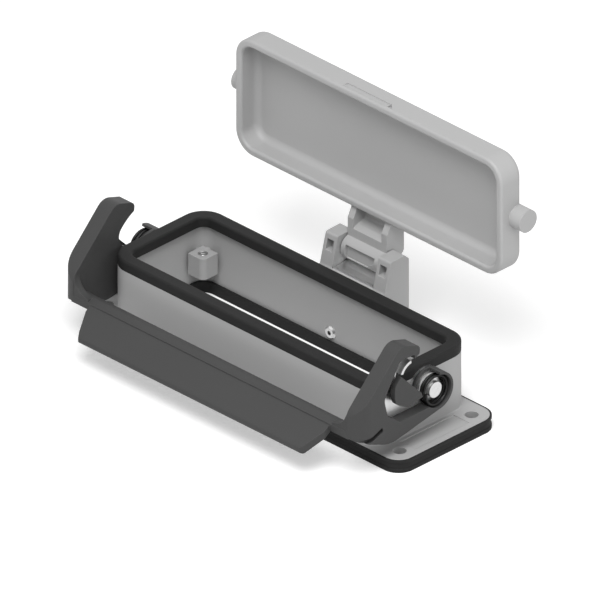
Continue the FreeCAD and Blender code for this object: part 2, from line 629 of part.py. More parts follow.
# Outline of the recess in the cheek, in which the steel plate lies
def recess_outline(sketch, inset):
    scaled(sketch, [(0.4, -4.2 + inset), (-17.2 + inset, -4.2 + inset, 1.2),
                    (-22.6 + inset, 0.2, 3.0), (-24.2 + inset, 6.6, 4.0),
                    (-16.9 + inset, 17.9 - inset, 2.0), (-10.6, 17.7 - inset, 0.8),
                    (-10.2, 14.0), (1.0, 9.5), (0.4, 2.0)])


# Slot of the peg about the pivot: an arc that ends in the seat and opens towards the cover
def slot_outline(sketch):
    axis = FreeCAD.Vector(0, 0, 1)
    angle = math.radians(d.seat_angle)
    mouth = math.radians(40.0)
    wrap = math.radians(231.0)
    seat = vector((seat_y, seat_z))
    upper = Part.ArcOfCircle(Part.Circle(vector((0, 0)), axis, float(slot_outer)), mouth, angle)
    end = Part.ArcOfCircle(Part.Circle(seat, axis, float(slot_half)), angle, wrap)
    upper, end = sketch.addGeometry(upper), sketch.addGeometry(end)
    sketch.addConstraint(Sketcher.Constraint("Coincident", upper, 3, -1, 1))
    place(sketch, upper, 2, slot_outer * cosine(d.seat_angle), slot_outer * sine(d.seat_angle))
    place(sketch, upper, 1, slot_outer * cosine(40.0), None)
    place(sketch, end, 3, seat_y, seat_z)
    sketch.addConstraint(Sketcher.Constraint("Coincident", upper, 2, end, 1))
    leave = seat + FreeCAD.Vector(math.cos(wrap), math.sin(wrap), 0) * float(slot_half)
    valley = sketch.addGeometry(Part.LineSegment(leave, vector((-3.0, -1.3))))
    sketch.addConstraint(Sketcher.Constraint("Tangent", end, 2, valley, 1))
    place(sketch, valley, 2, -3.0, -1.3)
    low = sketch.addGeometry(Part.LineSegment(vector((-3.0, -1.3)), vector((13.0, -1.3))))
    sketch.addConstraint(Sketcher.Constraint("Coincident", valley, 2, low, 1))
    place(sketch, low, 2, 13.0, -1.3)
    start = vector((slot_outer * math.cos(mouth), slot_outer * math.sin(mouth)))
    rise = sketch.addGeometry(Part.LineSegment(vector((13.0, -1.3)), start))
    sketch.addConstraint(Sketcher.Constraint("Coincident", low, 2, rise, 1))
    sketch.addConstraint(Sketcher.Constraint("Coincident", rise, 2, upper, 1))


# Locking lever: one moulding of two cheeks, a bar and a handle; drawn as the right half
def make_lever():
    half = new_body("lever_half")
    front, back = -d.bar_front, -d.bar_back
    bar = sketch_on(half, "bar", "YZ_Plane")
    outline(bar, [(front, -2.6), (front, -5.0), (back - 0.6, -5.0), (back + 1.2, -3.4),
                  (back + 1.2, -1.6), (back, -1.6)])
    pad(half, "bar_pad", bar, cheek_inner + d.web_thick)
    handle = sketch_on(half, "handle", "YZ_Plane")
    outline(handle, [(back, -1.6), (-45.0, -9.3, 1.1), (-45.0, -12.4, 1.1), (back, -4.2)])
    pad(half, "handle_pad", handle, d.handle_half)
    trim = sketch_on(half, "handle_end", "XY_Plane", 2.0)
    outline(trim, [(d.handle_half - 4.6, -47.0), (d.handle_half + 1.0, -47.0),
                   (d.handle_half + 1.0, -36.0), (d.handle_half + 0.3, -36.8),
                   (d.handle_half - 3.0, -43.4, 2.5), (d.handle_half - 4.6, -45.6)])
    pocket(half, "handle_trim", trim, 20.0)
    block = sketch_on(half, "corner_block", "YZ_Plane", cheek_inner - d.corner_hollow)
    outline(block, [(front + 0.1, -4.0), (back, -4.0), (back, 5.6), (front + 0.1, 3.6, 2.5)])
    pad(half, "corner_block_pad", block, d.corner_hollow)
    sweep = sketch_on(half, "corner_sweep", "XZ_Plane", back + 0.5)
    room = cheek_inner - d.corner_hollow - 0.5
    outline(sweep, [(room, -1.6), (cheek_inner, -1.6, d.corner_hollow), (cheek_inner, 7.0),
                    (room, 7.0)])
    pocket(half, "corner_sweep_cut", sweep, d.bar_front - d.bar_back + 1.0)
    cheek = sketch_on(half, "cheek", "YZ_Plane", cheek_inner)
    cheek_outline(cheek)
    pad(half, "cheek_pad", cheek, d.cheek_thick)
    round_off = sketch_on(half, "corner_round", "XY_Plane", lever_tall / 2)
    out, reach = cheek_outer, d.corner_round + 0.5
    outline(round_off, [(out - reach, front - 1.0), (out + 1.0, front - 1.0),
                        (out + 1.0, front + reach), (out, front + reach),
                        (out, front, d.corner_round), (out - reach, front)])
    pocket(half, "corner_round_cut", round_off, lever_tall)
    hub = sketch_on(half, "hub", "YZ_Plane", cheek_inner)
    circle(hub, 0.0, 0.0, d.hub_radius)
    slot = sketch_on(half, "slot", "YZ_Plane", cheek_inner)
    slot_outline(slot)
    pocket(half, "slot_cut", slot, d.cheek_thick, towards=1)
    pad(half, "hub_pad", hub, d.cheek_thick)
    recess = sketch_on(half, "recess", "YZ_Plane", web_outer)
    recess_outline(recess, 0.0)
    pocket(half, "recess_cut", recess, d.cheek_thick, towards=1)
    nest = sketch_on(half, "spring_nest", "YZ_Plane", web_outer)
    circle(nest, 0.0, 0.0, d.hub_radius - d.hub_wall)
    pocket(half, "nest_cut", nest, d.cheek_thick, towards=1)
    bore = sketch_on(half, "stud_hole", "YZ_Plane", web_outer)
    circle(bore, 0.0, 0.0, d.stud_radius + d.stud_play)
    pocket(half, "stud_hole_cut", bore, d.web_thick * 2)
    groove = sketch_on(half, "corner_groove", "YZ_Plane", cheek_outer)
    open_end = front / lever_unit - 1.0
    scaled(groove, [(open_end, -4.9), (-29.3, -4.7, 2.5), (-25.0, -3.0, 0.5),
                    (-24.4, -4.6, 0.5), (-29.0, -6.4, 3.0), (open_end, -6.6)])
    pocket(half, "corner_groove_cut", groove, d.groove_deep)
    post = sketch_on(half, "post", "YZ_Plane", web_outer)
    circle(post, -14.2 * lever_unit, 2.6 * lever_unit, d.post_radius)
    pad(half, "post_pad", post, cheek_outer - web_outer - d.disc_thick / 2)
    disc = sketch_on(half, "half_disc", "YZ_Plane", cheek_outer - d.disc_thick)
    scaled(disc, [(-16.4, 11.8), (-19.4, 9.0, 3.0), (-19.2, 2.8, 4.0), (-13.4, -0.4, 5.0),
                  (-7.0, 0.9), (-7.6, 2.6)])
    pad(half, "half_disc_pad", disc, d.disc_thick)
    half.setExpression("Placement.Base.z", expression_of(pivot_height))
    doc.recompute()
    other = doc.addObject("Part::Mirroring", "lever_other_half")
    other.Source = half
    other.Normal = FreeCAD.Vector(1, 0, 0)
    lever = doc.addObject("Part::MultiFuse", "locking_lever")
    lever.Shapes = [half, other]
    lever.Refine = True
    lever.Label = "locking_lever"
    del bodies["lever_half"]
    bodies["locking_lever"] = lever
    doc.recompute()
    return lever


# A curved strip about a centre: inner radius, thickness, first and last angle
def bow(sketch, centre, inner, thick, first, last):
    axis = FreeCAD.Vector(0, 0, 1)
    middle = vector(centre)
    angles = [math.radians(first), math.radians(last)]
    arcs = []
    for radius in (inner, inner + thick):
        ring = Part.Circle(middle, axis, float(radius))
        arcs.append(sketch.addGeometry(Part.ArcOfCircle(ring, angles[0], angles[1])))
        set_radius(sketch, arcs[-1], radius)
    place(sketch, arcs[0], 3, centre[0], centre[1])
    sketch.addConstraint(Sketcher.Constraint("Coincident", arcs[0], 3, arcs[1], 3))
    place(sketch, arcs[0], 1, centre[0] + inner * cosine(first), None)
    place(sketch, arcs[0], 2, centre[0] + inner * cosine(last), None)
    place(sketch, arcs[1], 1, centre[0] + (inner + thick) * cosine(first), None)
    place(sketch, arcs[1], 2, centre[0] + (inner + thick) * cosine(last), None)
    for end in (1, 2):
        spots = [sketch.getPoint(arc, end) for arc in arcs]
        line = sketch.addGeometry(Part.LineSegment(spots[0], spots[1]))
        sketch.addConstraint(Sketcher.Constraint("Coincident", line, 1, arcs[0], end))
        sketch.addConstraint(Sketcher.Constraint("Coincident", line, 2, arcs[1], end))


# Steel plate in a cheek: it carries the wear of the peg and the stud
def make_plate():
    body = new_body("lever_plate_right")
    inset = 0.15
    sheet_shape = sketch_on(body, "plate_outline", "YZ_Plane", web_outer)
    recess_outline(sheet_shape, inset)
    pad(body, "plate_pad", sheet_shape, d.plate_thick)
    slot = sketch_on(body, "plate_slot", "YZ_Plane", web_outer)
    slot_outline(slot)
    pocket(body, "plate_slot_cut", slot, d.plate_thick, towards=1)
    eye = sketch_on(body, "plate_eye", "YZ_Plane", web_outer)
    circle(eye, 0.0, 0.0, d.hub_radius - d.hub_wall - inset)
    pad(body, "plate_eye_pad", eye, d.plate_thick)
    bore = sketch_on(body, "plate_bore", "YZ_Plane", web_outer)
    circle(bore, 0.0, 0.0, d.stud_radius + d.stud_play)
    circle(bore, -14.2 * lever_unit, 2.6 * lever_unit, d.post_radius + 0.1)
    pocket(body, "plate_bore_cut", bore, d.plate_thick, towards=1)
    collar = sketch_on(body, "seat_collar", "YZ_Plane", web_outer)
    bow(collar, (seat_y, seat_z), slot_half, d.seat_collar, 95.0, 158.0)
    pad(body, "seat_collar_pad", collar, d.plate_thick + d.seat_rise)
    body.setExpression("Placement.Base.z", expression_of(pivot_height))
    doc.recompute()
    return body


# Coil spring round the stud's head
def make_coil():
    body = new_body("lever_spring_right")
    wire = sketch_on(body, "wire", "XZ_Plane")
    low = plate_outer + d.coil_rest
    inner, outer = d.coil_radius - d.coil_wire, d.coil_radius + d.coil_wire
    outline(wire, [(low, inner), (low + d.coil_wire * 1.6, inner),
                   (low + d.coil_wire * 1.6, outer), (low, outer)])
    doc.recompute()
    coil = body.newObject("PartDesign::AdditiveHelix", "coil")
    coil.Profile = wire
    coil.ReferenceAxis = (wire, ["H_Axis"])
    coil.Mode = "pitch-turns-angle"
    coil.setExpression("Pitch", expression_of(d.coil_pitch))
    coil.setExpression("Turns", expression_of(d.coil_turns))
    body.setExpression("Placement.Base.z", expression_of(pivot_height))
    doc.recompute()
    return body


# Leaf spring under the knuckle, with its front end turned up
def make_leaf():
    body = new_body("cover_spring")
    front, back = hinge_y - d.leaf_front, hinge_y + d.leaf_back
    thick, floor_z = d.leaf_thick, gap_floor
    crown = floor_z + d.leaf_crown
    foot, flat = d.knuckle_radius * 0.9, d.knuckle_radius * 0.15
    lift = floor_z + d.leaf_lift
    strip = sketch_on(body, "strip", "YZ_Plane")
    outline(strip, [(front - thick, floor_z), (hinge_y - foot, floor_z), (hinge_y - flat, crown),
                    (hinge_y + flat, crown), (back, floor_z), (back, floor_z + thick),
                    (hinge_y + flat, crown + thick), (hinge_y - flat, crown + thick),
                    (hinge_y - foot, floor_z + thick), (front, floor_z + thick),
                    (front, lift), (front - thick, lift)])
    pad(body, "strip_pad", strip, d.arm_half * 2, symmetric=True)
    return body


make_housing()
make_rim_gasket()
make_flange_gasket()
make_bracket()
make_cover()
make_lever()
plate = make_plate()
coil = make_coil()
make_leaf()

# Pivot stud: shank through the end wall and the lever, with a flat head outside the plate
head_in = plate_outer + 0.05
head_out = head_in + d.stud_head_thick
stud = turned("pivot_stud_right", [
    (cavity_half_length + d.stud_blind, 0.0), (cavity_half_length + d.stud_blind, d.stud_radius),
    (head_in, d.stud_radius), (head_in, d.stud_head_radius), (head_out, d.stud_head_radius),
    (head_out, d.stud_nose_radius), (head_out + d.stud_nose_long, d.stud_nose_radius),
    (head_out + d.stud_nose_long, 0.0)], pivot_height)

# Washer between the end wall and the lever
washer_in, washer_out = wall_half_length, wall_half_length + d.washer_thick
washer = turned("pivot_washer_right", [
    (washer_in, d.stud_radius + d.stud_play), (washer_in, d.washer_radius),
    (washer_out, d.washer_radius), (washer_out, d.stud_radius + d.stud_play)], pivot_height)

for piece in (plate, coil, stud, washer):
    mirrored(piece.Label.replace("right", "left"), piece)

# Hinge pin through the bracket's ears and the knuckle
pin = turned("hinge_pin", [
    (-d.bracket_half, 0.0), (-d.bracket_half, d.hinge_pin_radius),
    (d.bracket_half - d.pin_blind, d.hinge_pin_radius), (d.bracket_half - d.pin_blind, 0.0)], hinge_z)
pin.setExpression("Placement.Base.y", expression_of(hinge_y))

# Hollow rivet through the back wall and the bracket's foot, headed on both sides
rivet_in, rivet_out = cavity_half_width, wall_half_width + d.bracket_foot
rolled = rivet_in - d.rivet_proud
rivet = turned("bracket_rivet", [
    (rolled, d.rivet_hollow), (rolled, d.rivet_radius), (rivet_in - 0.3, d.rivet_rolled),
    (rivet_in, d.rivet_rolled), (rivet_in, d.rivet_radius), (rivet_out, d.rivet_radius),
    (rivet_out, d.rivet_head), (rivet_out + d.rivet_proud, d.rivet_head),
    (rivet_out + d.rivet_proud, d.rivet_hollow)], d.rivet_height)
rivet.Placement.Rotation = FreeCAD.Rotation(FreeCAD.Vector(0, 0, 1), 90)

doc.recompute()

for item in doc.Objects:
    if "Invalid" in item.State or "Error" in item.State:
        raise RuntimeError("%s did not build: %s" % (item.Name, item.State))

for name, piece in bodies.items():
    shape = piece.Shape
    if shape.isNull() or not shape.isValid() or not shape.Solids:
        raise RuntimeError("%s has no valid solid" % name)
    shape.exportStep("parts/%s.step" % name)
    box = shape.optimalBoundingBox()
    print("%-22s solids %d volume %9.1f box X %.2f %.2f Y %.2f %.2f Z %.2f %.2f" % (
        name, len(shape.Solids), shape.Volume, box.XMin, box.XMax, box.YMin, box.YMax,
        box.ZMin, box.ZMax))
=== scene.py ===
"""Finishes and stage for a panel-mounting connector housing with a lever and a hinged cover."""

import json
import math

import bpy
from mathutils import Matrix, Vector


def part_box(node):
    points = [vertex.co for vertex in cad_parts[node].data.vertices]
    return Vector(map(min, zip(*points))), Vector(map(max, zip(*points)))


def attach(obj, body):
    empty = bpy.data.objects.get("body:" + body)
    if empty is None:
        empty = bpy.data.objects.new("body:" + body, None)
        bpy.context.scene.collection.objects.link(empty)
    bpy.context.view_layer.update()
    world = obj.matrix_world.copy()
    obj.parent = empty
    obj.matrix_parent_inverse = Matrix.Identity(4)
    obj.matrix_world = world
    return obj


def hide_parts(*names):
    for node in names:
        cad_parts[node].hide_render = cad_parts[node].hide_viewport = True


bl_info = {
    "name": "Connector housing finishes",
    "version": (1, 0, 0),
    "blender": (4, 5, 0),
    "location": "3D View > Sidebar > Connector",
    "description": "Dresses a rectangular connector housing in its finishes and sets up its stage",
    "category": "Object",
}

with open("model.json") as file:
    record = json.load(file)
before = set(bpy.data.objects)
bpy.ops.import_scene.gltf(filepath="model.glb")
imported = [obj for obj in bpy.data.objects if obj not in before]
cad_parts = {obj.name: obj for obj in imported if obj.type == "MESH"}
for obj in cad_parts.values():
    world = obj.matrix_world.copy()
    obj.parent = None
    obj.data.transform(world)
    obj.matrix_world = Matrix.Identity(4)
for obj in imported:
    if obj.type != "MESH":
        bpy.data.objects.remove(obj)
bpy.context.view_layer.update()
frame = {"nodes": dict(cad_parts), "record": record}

MM = 0.001
PHOTO_SIDE = 600
PIXELS_PER_MM = 3.18
CAMERA_AZIMUTH = math.radians(45.0)
CAMERA_ELEVATION = math.radians(30.0)
ORIGIN_PIXEL = (289.5, 371.9)
CAMERA_DISTANCE = 0.8
FLOOR_HALF = 1.5
FLOOR_DROP = 0.02 * MM
FLOOR_GLOW = 0.35
ROOM_STRENGTH = 0.46
LAMP_AIM = (0.0, 0.0, 0.03)
STEEL_DARK = 0.86
COIL_CORNERS = 14
THREAD_CORNERS = 3
THREAD_HALF = 0.28
THREAD_RUNOUT = 0.4
TURN_POINTS = 40


def grey(value):
    """A linear grey from the grey value 0 to 255 that it shows as."""
    level = value / 255.0
    linear = level / 12.92 if level <= 0.04045 else ((level + 0.055) / 1.055) ** 2.4
    return (linear, linear, linear)


class ConnectorFinish(bpy.types.PropertyGroup):
    """Colours and grain of the connector's materials."""

    housing_colour: bpy.props.FloatVectorProperty(
        name="Housing", description="Powder coat of the housing and the hinge bracket",
        subtype="COLOR", size=3, min=0.0, max=1.0, default=grey(172))
    cover_colour: bpy.props.FloatVectorProperty(
        name="Cover", description="Powder coat of the cover",
        subtype="COLOR", size=3, min=0.0, max=1.0, default=grey(176))
    lever_colour: bpy.props.FloatVectorProperty(
        name="Lever", description="Moulded plastic of the locking lever",
        subtype="COLOR", size=3, min=0.0, max=1.0, default=grey(64))
    rubber_colour: bpy.props.FloatVectorProperty(
        name="Rubber", description="Both gaskets",
        subtype="COLOR", size=3, min=0.0, max=1.0, default=grey(36))
    steel_colour: bpy.props.FloatVectorProperty(
        name="Stainless steel", description="Studs, washers, plates, pin, rivet and leaf spring",
        subtype="COLOR", size=3, min=0.0, max=1.0, default=grey(238))
    wire_colour: bpy.props.FloatVectorProperty(
        name="Spring wire", description="Dark spring wire of the lever's coils",
        subtype="COLOR", size=3, min=0.0, max=1.0, default=grey(52))
    coat_grain: bpy.props.FloatProperty(
        name="Coat grain", description="Size of the orange-peel grain in the powder coat",
        unit="LENGTH", min=0.00005, max=0.005, default=0.0005)
    plastic_grain: bpy.props.FloatProperty(
        name="Plastic grain", description="Size of the spark-eroded grain on the lever",
        unit="LENGTH", min=0.00005, max=0.005, default=0.0003)
    wire_radius: bpy.props.FloatProperty(
        name="Wire radius", description="Radius of the lever springs' wire",
        unit="LENGTH", min=0.0001, max=0.001, default=0.0005)
    spring_pitch: bpy.props.FloatProperty(
        name="Spring pitch", description="Distance from turn to turn of the lever springs",
        unit="LENGTH", min=0.0005, max=0.004, default=0.00118)
    thread_pitch: bpy.props.FloatProperty(
        name="Thread pitch", description="Pitch of the threads for the insert screws",
        unit="LENGTH", min=0.0003, max=0.002, default=0.0007)
    thread_depth: bpy.props.FloatProperty(
        name="Thread depth", description="Length of thread under the face of a boss",
        unit="LENGTH", min=0.001, max=0.0076, default=0.0072)
    edge_radius: bpy.props.FloatProperty(
        name="Edge radius", description="Rounding that catches light on cast and moulded edges",
        unit="LENGTH", min=0.0, max=0.002, default=0.0003)


def settings():
    return bpy.context.scene.connector_finish


class Nodes:
    """A node tree with short calls for the nodes and links used here."""

    def __init__(self, tree):
        self.tree = tree

    def add(self, kind, **values):
        node = self.tree.nodes.new(kind)
        for name, value in values.items():
            setattr(node, name, value)
        return node

    def link(self, output, node_input):
        self.tree.links.new(output, node_input)

    def feed(self, node, socket, value):
        if isinstance(value, bpy.types.NodeSocket):
            self.link(value, node.inputs[socket])
        else:
            node.inputs[socket].default_value = value

    def maths(self, operation, first, second=0.0, clamp=False):
        node = self.add("ShaderNodeMath", operation=operation, use_clamp=clamp)
        self.feed(node, 0, first)
        self.feed(node, 1, second)
        return node.outputs[0]


class Shader(Nodes):
    """The same for a shader tree, with a mix of two colours."""

    def mix(self, factor, first, second):
        node = self.add("ShaderNodeMix", data_type="RGBA")
        self.feed(node, 0, factor)
        self.feed(node, 6, first)
        self.feed(node, 7, second)
        return node.outputs[2]


def group(name, inputs, outputs, build):
    """A shader node group, built once: inputs are (name, default), outputs (name, type)."""
    tree = bpy.data.node_groups.get(name)
    if tree is not None:
        return tree
    tree = bpy.data.node_groups.new(name, "ShaderNodeTree")
    for label, default in inputs:
        socket = tree.interface.new_socket(label, in_out="INPUT", socket_type="NodeSocketFloat")
        socket.default_value = default
    for label, kind in outputs:
        tree.interface.new_socket(label, in_out="OUTPUT", socket_type=kind)
    shader = Shader(tree)
    build(shader, shader.add("NodeGroupInput").outputs, shader.add("NodeGroupOutput"))
    return tree


def grain_group():
    """Fine grain and broad unevenness of a coated or moulded surface."""
    def build(shader, given, result):
        place = shader.add("ShaderNodeTexCoord").outputs["Object"]
        fine = shader.add("ShaderNodeTexNoise")
        fine.inputs["Detail"].default_value = 2.0
        shader.link(place, fine.inputs["Vector"])
        shader.link(shader.maths("DIVIDE", 1.0, given["Grain Size"]), fine.inputs["Scale"])
        broad = shader.add("ShaderNodeTexNoise")
        broad.inputs["Detail"].default_value = 3.0
        shader.link(place, broad.inputs["Vector"])
        shader.link(shader.maths("DIVIDE", 1.0, given["Patch Size"]), broad.inputs["Scale"])
        shader.link(fine.outputs["Fac"], result.inputs["Fine"])
        shader.link(broad.outputs["Fac"], result.inputs["Broad"])
    return group("Surface grain", [("Grain Size", 0.0005), ("Patch Size", 0.02)],
                 [("Fine", "NodeSocketFloat"), ("Broad", "NodeSocketFloat")], build)


def edge_group():
    """Rounded shading on edges, and a mask that is 1 along them."""
    def build(shader, given, result):
        bevel = shader.add("ShaderNodeBevel", samples=8)
        shader.link(given["Radius"], bevel.inputs["Radius"])
        flat = shader.add("ShaderNodeNewGeometry").outputs["Normal"]
        match = shader.add("ShaderNodeVectorMath", operation="DOT_PRODUCT")
        shader.link(bevel.outputs["Normal"], match.inputs[0])
        shader.link(flat, match.inputs[1])
        away = shader.maths("SUBTRACT", 1.0, match.outputs["Value"])
        shader.link(shader.maths("MULTIPLY", away, 4.0, clamp=True), result.inputs["Edge"])
        shader.link(bevel.outputs["Normal"], result.inputs["Normal"])
    return group("Softened edge", [("Radius", 0.0003)],
                 [("Edge", "NodeSocketFloat"), ("Normal", "NodeSocketVector")], build)


def place_group(shader, tree, **values):
    node = shader.add("ShaderNodeGroup", node_tree=tree)
    for name, value in values.items():
        node.inputs[name.replace("_", " ")].default_value = value
    return node


def new_material(name):
    """A material with only a Principled BSDF; returns it, its shader and the BSDF."""
    material = bpy.data.materials.new(name)
    material.use_nodes = True
    shader = Shader(material.node_tree)
    bsdf = next(n for n in material.node_tree.nodes if n.type == "BSDF_PRINCIPLED")
    return material, shader, bsdf


def surface(name, colour, grain, patch, roughness, bump, patch_shift, edge_highlight, shine=0.5):
    """A grained surface: patches shift its colour, edges are softened and painted a little lighter
    as a highlight.
    """
    material, shader, bsdf = new_material(name)
    texture = place_group(shader, grain_group(), Grain_Size=grain, Patch_Size=patch)
    edge = place_group(shader, edge_group(), Radius=settings().edge_radius)
    low = tuple(c * (1.0 - patch_shift) for c in colour) + (1.0,)
    high = tuple(min(1.0, c * (1.0 + patch_shift)) for c in colour) + (1.0,)
    # painted highlight: the colour along the edges is lifted lighter to stand in for light caught
    # on rounded edges
    highlight_colour = tuple(min(1.0, c * (1.0 + edge_highlight)) for c in colour) + (1.0,)
    tone = shader.mix(texture.outputs["Broad"], low, high)
    # the edge mask mixes in the painted edge highlight
    tone = shader.mix(edge.outputs["Edge"], tone, highlight_colour)
    shader.link(tone, bsdf.inputs["Base Color"])
    rough = shader.add("ShaderNodeMapRange")
    shader.feed(rough, "Value", texture.outputs["Fine"])
    shader.feed(rough, "To Min", roughness - 0.06)
    shader.feed(rough, "To Max", roughness + 0.06)
    shader.link(rough.outputs["Result"], bsdf.inputs["Roughness"])
    relief = shader.add("ShaderNodeBump")
    relief.inputs["Strength"].default_value = bump
    relief.inputs["Distance"].default_value = 0.05 * MM
    shader.link(texture.outputs["Fine"], relief.inputs["Height"])
    shader.link(edge.outputs["Normal"], relief.inputs["Normal"])
    shader.link(relief.outputs["Normal"], bsdf.inputs["Normal"])
    bsdf.inputs["Specular IOR Level"].default_value = shine
    return material


def steel(name, colour, roughness, stretch):
    """Metal with fine lines drawn along one axis."""
    material, shader, bsdf = new_material(name)
    place = shader.add("ShaderNodeTexCoord").outputs["Object"]
    mapping = shader.add("ShaderNodeMapping")
    mapping.inputs["Scale"].default_value = stretch
    shader.link(place, mapping.inputs["Vector"])
    lines = shader.add("ShaderNodeTexNoise")
    lines.inputs["Scale"].default_value = 1.0
    lines.inputs["Detail"].default_value = 2.0
    shader.link(mapping.outputs["Vector"], lines.inputs["Vector"])
    low = tuple(c * STEEL_DARK for c in colour) + (1.0,)
    shader.link(shader.mix(lines.outputs["Fac"], low, tuple(colour) + (1.0,)),
                bsdf.inputs["Base Color"])
    rough = shader.add("ShaderNodeMapRange")
    shader.feed(rough, "Value", lines.outputs["Fac"])
    shader.feed(rough, "To Min", roughness - 0.05)
    shader.feed(rough, "To Max", roughness + 0.08)
    shader.link(rough.outputs["Result"], bsdf.inputs["Roughness"])
    relief = shader.add("ShaderNodeBump")
    relief.inputs["Strength"].default_value = 0.15
    relief.inputs["Distance"].default_value = 0.02 * MM
    shader.link(lines.outputs["Fac"], relief.inputs["Height"])
    shader.link(relief.outputs["Normal"], bsdf.inputs["Normal"])
    bsdf.inputs["Metallic"].default_value = 1.0
    return material


def grown(name, spots, sizes, build, material, body):
    """A piece that geometry nodes grow on the given spots, turned into a plain mesh."""
    start = bpy.data.meshes.new(name + "_spots")
    start.from_pydata(spots, [], [])
    source = bpy.data.objects.new(name + "_source", start)
    bpy.context.scene.collection.objects.link(source)
    tree = bpy.data.node_groups.new(name, "GeometryNodeTree")
    tree.interface.new_socket("Spots", in_out="INPUT", socket_type="NodeSocketGeometry")
    inputs = {}
    for label, (kind, value) in sizes.items():
        inputs[label] = tree.interface.new_socket(label, in_out="INPUT", socket_type=kind)
        inputs[label].default_value = value
    tree.interface.new_socket("Piece", in_out="OUTPUT", socket_type="NodeSocketGeometry")
    nodes = Nodes(tree)
    real = nodes.add("GeometryNodeRealizeInstances")
    nodes.link(build(nodes, nodes.add("NodeGroupInput").outputs), real.inputs["Geometry"])
    paint = nodes.add("GeometryNodeSetMaterial")
    paint.inputs["Material"].default_value = material
    nodes.link(real.outputs["Geometry"], paint.inputs["Geometry"])
    nodes.link(paint.outputs["Geometry"], nodes.add("NodeGroupOutput").inputs["Piece"])
    modifier = source.modifiers.new(name, "NODES")
    modifier.node_group = tree
    for label, (kind, value) in sizes.items():
        modifier[inputs[label].identifier] = value
    bpy.context.view_layer.update()
    shown = source.evaluated_get(bpy.context.evaluated_depsgraph_get())
    piece = bpy.data.objects.new(name, bpy.data.meshes.new_from_object(shown))
    piece.data.name = name
    bpy.data.objects.remove(source)
    bpy.context.scene.collection.objects.link(piece)
    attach(piece, body)
    return piece


def helix(nodes, given, corners):
    """A wire wound about Z with flat ends, from the inputs Radius, Wire, Pitch and Turns."""
    spiral = nodes.add("GeometryNodeCurveSpiral")
    spiral.inputs["Resolution"].default_value = TURN_POINTS
    nodes.link(given["Turns"], spiral.inputs["Rotations"])
    nodes.link(given["Radius"], spiral.inputs["Start Radius"])
    nodes.link(given["Radius"], spiral.inputs["End Radius"])
    nodes.link(nodes.maths("MULTIPLY", given["Pitch"], given["Turns"]), spiral.inputs["Height"])
    section = nodes.add("GeometryNodeCurvePrimitiveCircle")
    section.inputs["Resolution"].default_value = corners
    nodes.link(given["Wire"], section.inputs["Radius"])
    sweep = nodes.add("GeometryNodeCurveToMesh")
    sweep.inputs["Fill Caps"].default_value = True
    nodes.link(spiral.outputs["Curve"], sweep.inputs["Curve"])
    nodes.link(section.outputs["Curve"], sweep.inputs["Profile Curve"])
    return sweep.outputs["Mesh"]


def on_spots(nodes, given, shape):
    """Instances of a shape on the spots."""
    place = nodes.add("GeometryNodeInstanceOnPoints")
    nodes.link(given["Spots"], place.inputs["Points"])
    nodes.link(shape, place.inputs["Instance"])
    return place


def lever_coils(nodes, given):
    """A coil on each spot, its axis along X and pointing away from the middle."""
    smooth = nodes.add("GeometryNodeSetShadeSmooth")
    nodes.link(helix(nodes, given, COIL_CORNERS), smooth.inputs["Geometry"])
    place = on_spots(nodes, given, smooth.outputs["Geometry"])
    side = nodes.add("ShaderNodeSeparateXYZ")
    nodes.link(nodes.add("GeometryNodeInputPosition").outputs["Position"], side.inputs["Vector"])
    tilt = nodes.maths("MULTIPLY", nodes.maths("SIGN", side.outputs["X"]), math.pi / 2)
    angles = nodes.add("ShaderNodeCombineXYZ")
    nodes.link(tilt, angles.inputs["Y"])
    turn = nodes.add("FunctionNodeEulerToRotation")
    nodes.link(angles.outputs["Vector"], turn.inputs["Euler"])
    nodes.link(turn.outputs["Rotation"], place.inputs["Rotation"])
    return place.outputs["Instances"]


def insert_threads(nodes, given):
    """The ridge of a screw thread, running down from each spot."""
    return on_spots(nodes, given, helix(nodes, given, THREAD_CORNERS)).outputs["Instances"]


def dress(material, *nodes):
    for name in nodes:
        slots = frame["nodes"][name].data.materials
        slots.clear()
        slots.append(material)


class CONNECTOR_OT_castings(bpy.types.Operator):
    """Powder-coat the housing, the hinge bracket and the cover"""

    bl_idname = "connector.castings"
    bl_label = "Coat the castings"

    def execute(self, context):
        finish = settings()
        coat = surface("Housing coat", finish.housing_colour, finish.coat_grain, patch=0.03,
                       roughness=0.55, bump=0.35, patch_shift=0.03, edge_highlight=0.25)
        dress(coat, "housing", "hinge_bracket")
        pale = surface("Cover coat", finish.cover_colour, finish.coat_grain, patch=0.03,
                       roughness=0.50, bump=0.30, patch_shift=0.025, edge_highlight=0.12)
        dress(pale, "cover")
        return {"FINISHED"}


class CONNECTOR_OT_gaskets(bpy.types.Operator):
    """Give the two gaskets their moulded rubber"""

    bl_idname = "connector.gaskets"
    bl_label = "Finish the gaskets"

    def execute(self, context):
        rubber = surface("Moulded rubber", settings().rubber_colour, grain=0.0004, patch=0.015,
                         roughness=0.62, bump=0.25, patch_shift=0.10, edge_highlight=0.25, shine=0.2)
        dress(rubber, "rim_gasket", "flange_gasket")
        return {"FINISHED"}


class CONNECTOR_OT_lever(bpy.types.Operator):
    """Give the locking lever its grained plastic"""

    bl_idname = "connector.lever"
    bl_label = "Finish the lever"

    def execute(self, context):
        finish = settings()
        plastic = surface("Lever plastic", finish.lever_colour, finish.plastic_grain, patch=0.02,
                          roughness=0.50, bump=0.40, patch_shift=0.05, edge_highlight=0.35, shine=0.3)
        dress(plastic, "locking_lever")
        return {"FINISHED"}


